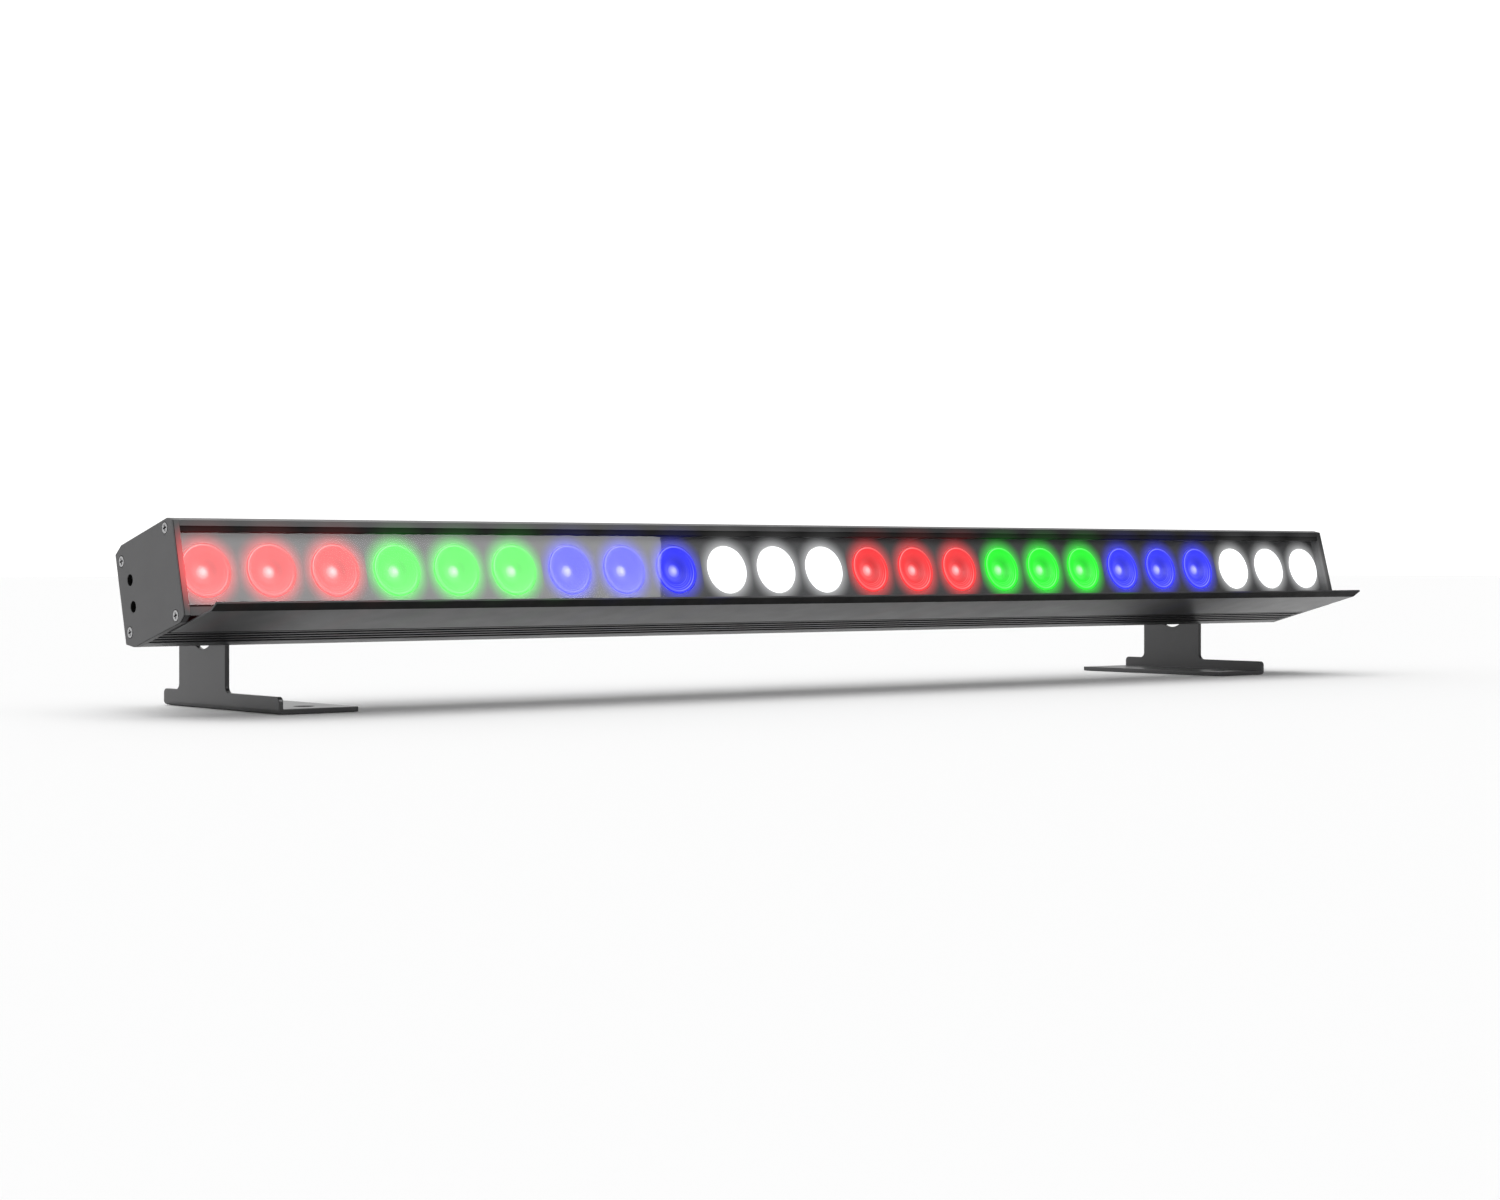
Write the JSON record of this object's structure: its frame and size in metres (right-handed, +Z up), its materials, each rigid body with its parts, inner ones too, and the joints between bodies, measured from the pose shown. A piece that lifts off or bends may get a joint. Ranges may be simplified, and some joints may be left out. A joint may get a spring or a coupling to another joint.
{
  "type": "led strip batten",
  "caption": "Long slim stage light with a row of round coloured lenses behind a clear window, a folding glare shield and tilting floor brackets.",
  "frame": {"origin": "on the floor under the middle of the batten", "axes": "+X along the batten towards the zone 8 end, +Y from the lit front to the back, +Z up"},
  "size_m": [1, 0.1852, 0.1117],
  "materials": {
    "housing": "fine satin powder coat",
    "end_plate": "fine satin powder coat",
    "bracket": "satin black powder coat on steel",
    "shield": "satin black coated aluminium sheet",
    "black_screw": "blackened steel",
    "steel": "zinc-plated steel",
    "window": "clear polished acrylic",
    "seal": "matt black rubber",
    "lens_plate": "dark satin plastic sheet",
    "white_plastic": "moulded white plastic",
    "emitter": "encapsulated LED package",
    "bright_aluminium": "plain aluminium sheet",
    "board": "green solder mask",
    "white_board": "white solder mask on an aluminium core",
    "display": "smoked display window",
    "blue_plastic": "moulded blue plastic",
    "grey_plastic": "moulded grey plastic",
    "connector_metal": "black coated die casting",
    "black_plastic": "moulded black plastic",
    "fuse_glass": "clear glass tube",
    "cable": "black cable jacket",
    "nylon": "black nylon",
    "button": "black silicone",
    "lens_red": "lit red collimator lens",
    "lens_green": "lit green collimator lens",
    "lens_blue": "lit blue collimator lens",
    "lens_white": "lit white collimator lens"
  },
  "bodies": {
    "housing": {"housing_extrusion": "housing", "end_plate_left": "end_plate", "end_plate_right": "end_plate", "end_plate_screws": "black_screw", "front_window": "window", "window_seal_top": "seal", "window_seal_bottom": "seal", "lens_plate": "lens_plate", "lens_holders": "white_plastic", "led_emitters": "emitter", "led_board_screws": "steel", "power_supply_case": "bright_aluminium", "power_supply_cover": "bright_aluminium", "power_supply_board": "board", "driver_board": "board", "control_board": "board", "display_window": "display", "display_module": "display", "rear_panel": "housing", "rear_panel_screws": "black_screw", "power_in_connector": "blue_plastic", "power_out_connector": "grey_plastic", "dmx_in_connector": "connector_metal", "dmx_out_connector": "connector_metal", "fuse_holder": "black_plastic", "fuse": "fuse_glass", "wiring": "cable", "safety_eye": "steel", "pivot_tab_left": "bracket", "pivot_tab_right": "bracket", "pivot_stud_left": "steel", "pivot_stud_right": "steel", "tilt_washers": "nylon", "guide_pins": "steel", "tab_screws": "black_screw", "zone_1_lenses": "lens_red", "zone_2_lenses": "lens_green", "zone_3_lenses": "lens_blue", "zone_4_lenses": "lens_white", "zone_5_lenses": "lens_red", "zone_6_lenses": "lens_green", "zone_7_lenses": "lens_blue", "zone_8_lenses": "lens_white", "led_board_1": "white_board", "led_board_2": "white_board", "led_board_3": "white_board", "led_board_4": "white_board"},
    "shield": {"glare_shield": "shield"},
    "bracket_left": {"bracket_left": "bracket"},
    "bracket_right": {"bracket_right": "bracket"},
    "knob_left": {"tilt_knob_left": "black_plastic", "clamp_washer_left": "nylon"},
    "knob_right": {"tilt_knob_right": "black_plastic", "clamp_washer_right": "nylon"},
    "dmx_out_latch": {"dmx_out_latch": "steel"},
    "fuse_cap": {"fuse_cap": "black_plastic"},
    "menu_button_1": {"menu_button_1": "button"},
    "menu_button_2": {"menu_button_2": "button"},
    "menu_button_3": {"menu_button_3": "button"},
    "menu_button_4": {"menu_button_4": "button"}
  },
  "joints": [
    {"name": "bracket_left_tilt", "type": "hinge", "parent": "housing", "child": "bracket_left", "pos_m": [-0.431, 0.0438, 0.0521], "axis": [1, 0, 0], "range_deg": [-15, 75]},
    {"name": "knob_left_turn", "type": "hinge", "parent": "housing", "child": "knob_left", "pos_m": [-0.431, 0.0438, 0.0521], "axis": [1, 0, 0], "continuous": true},
    {"name": "bracket_right_tilt", "type": "hinge", "parent": "housing", "child": "bracket_right", "pos_m": [0.431, 0.0438, 0.0521], "axis": [1, 0, 0], "range_deg": [-15, 75]},
    {"name": "knob_right_turn", "type": "hinge", "parent": "housing", "child": "knob_right", "pos_m": [0.431, 0.0438, 0.0521], "axis": [1, 0, 0], "continuous": true},
    {"name": "shield_fold", "type": "hinge", "parent": "housing", "child": "shield", "pos_m": [0, -0.03447, 0.05092], "axis": [1, 0, 0], "range_deg": [0, 33]},
    {"name": "menu_button_1_press", "type": "slide", "parent": "housing", "child": "menu_button_1", "axis": [0, -0.9659, 0.2588], "range_m": [0, 0.0008], "stiffness_N_per_m": 400},
    {"name": "menu_button_2_press", "type": "slide", "parent": "housing", "child": "menu_button_2", "axis": [0, -0.9659, 0.2588], "range_m": [0, 0.0008], "stiffness_N_per_m": 400},
    {"name": "menu_button_3_press", "type": "slide", "parent": "housing", "child": "menu_button_3", "axis": [0, -0.9659, 0.2588], "range_m": [0, 0.0008], "stiffness_N_per_m": 400},
    {"name": "menu_button_4_press", "type": "slide", "parent": "housing", "child": "menu_button_4", "axis": [0, -0.9659, 0.2588], "range_m": [0, 0.0008], "stiffness_N_per_m": 400},
    {"name": "dmx_out_latch_press", "type": "slide", "parent": "housing", "child": "dmx_out_latch", "axis": [0, -0.9659, 0.2588], "range_m": [0, 0.0015], "stiffness_N_per_m": 500},
    {"name": "fuse_cap_turn", "type": "hinge", "parent": "housing", "child": "fuse_cap", "pos_m": [-0.076, 0.01872, 0.06399], "axis": [0, 0.9659, -0.2588], "range_deg": [-60, 0]}
  ]
}
